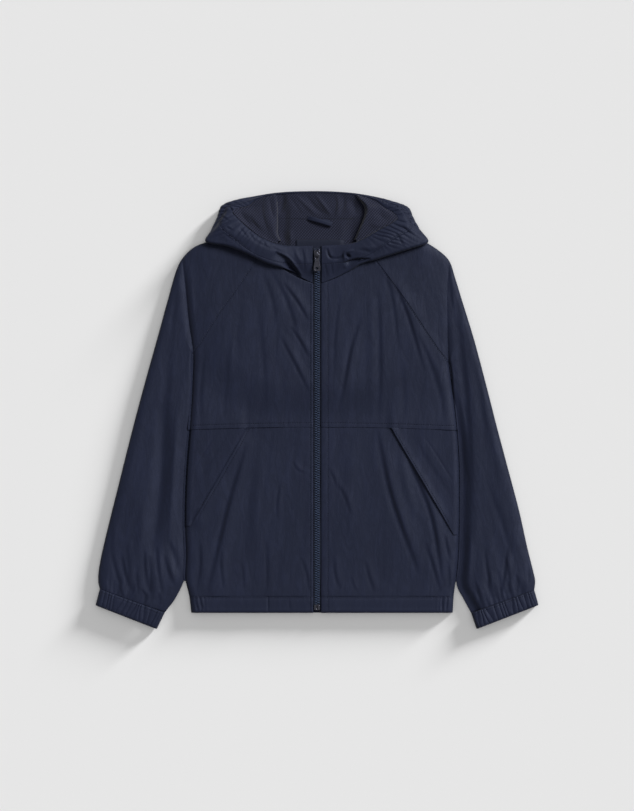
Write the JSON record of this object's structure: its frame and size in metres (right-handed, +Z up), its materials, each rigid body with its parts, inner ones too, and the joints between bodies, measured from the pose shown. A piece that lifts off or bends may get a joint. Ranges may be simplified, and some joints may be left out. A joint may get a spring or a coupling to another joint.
{
  "type": "windbreaker",
  "caption": "Hooded zip windbreaker with raglan sleeves, slanted pockets and elastic cuffs and hem, laid flat on its back with the hood open and its lining showing.",
  "frame": {"origin": "on the surface the garment lies on, in the middle of its outline", "axes": "+Z up from the surface, through the front; +Y towards the hood; +X towards the sleeve on the right as seen from above"},
  "size_m": [0.5973, 0.5906, 0.0235],
  "materials": {
    "shell": "crinkled navy nylon",
    "casing": "navy nylon folded double over elastic",
    "lining": "dark navy knitted mesh with a diagonal rib",
    "zip": "woven zip tape with moulded navy teeth",
    "hardware": "dark painted zip metal"
  },
  "bodies": {
    "garment": {"back": "shell", "back_lining": "lining", "cuff_left": "casing", "cuff_right": "casing", "front_lower_left": "shell", "front_lower_right": "shell", "front_upper_left": "shell", "front_upper_right": "shell", "hanger_loop": "casing", "hem_back": "casing", "hem_front_left": "casing", "hem_front_right": "casing", "hood_casing_left": "casing", "hood_casing_right": "casing", "hood_crown": "shell", "hood_folded_under": "shell", "hood_lining_left": "lining", "hood_lining_middle": "lining", "hood_lining_right": "lining", "hood_side_left": "shell", "hood_side_right": "shell", "neck_facing": "casing", "pocket_flap_left": "shell", "pocket_flap_right": "shell", "sleeve_left": "shell", "sleeve_right": "shell", "zip_box": "hardware", "zip_chain": "zip", "zip_slider": "hardware", "zip_tape_left": "zip", "zip_tape_right": "zip"},
    "pull": {"zip_pull": "hardware"}
  },
  "joints": [
    {"name": "pull_hinge", "type": "hinge", "parent": "garment", "child": "pull", "pos_m": [0, 0.2095, 0.01755], "axis": [-1, 0, 0], "range_deg": [0, 170]}
  ]
}
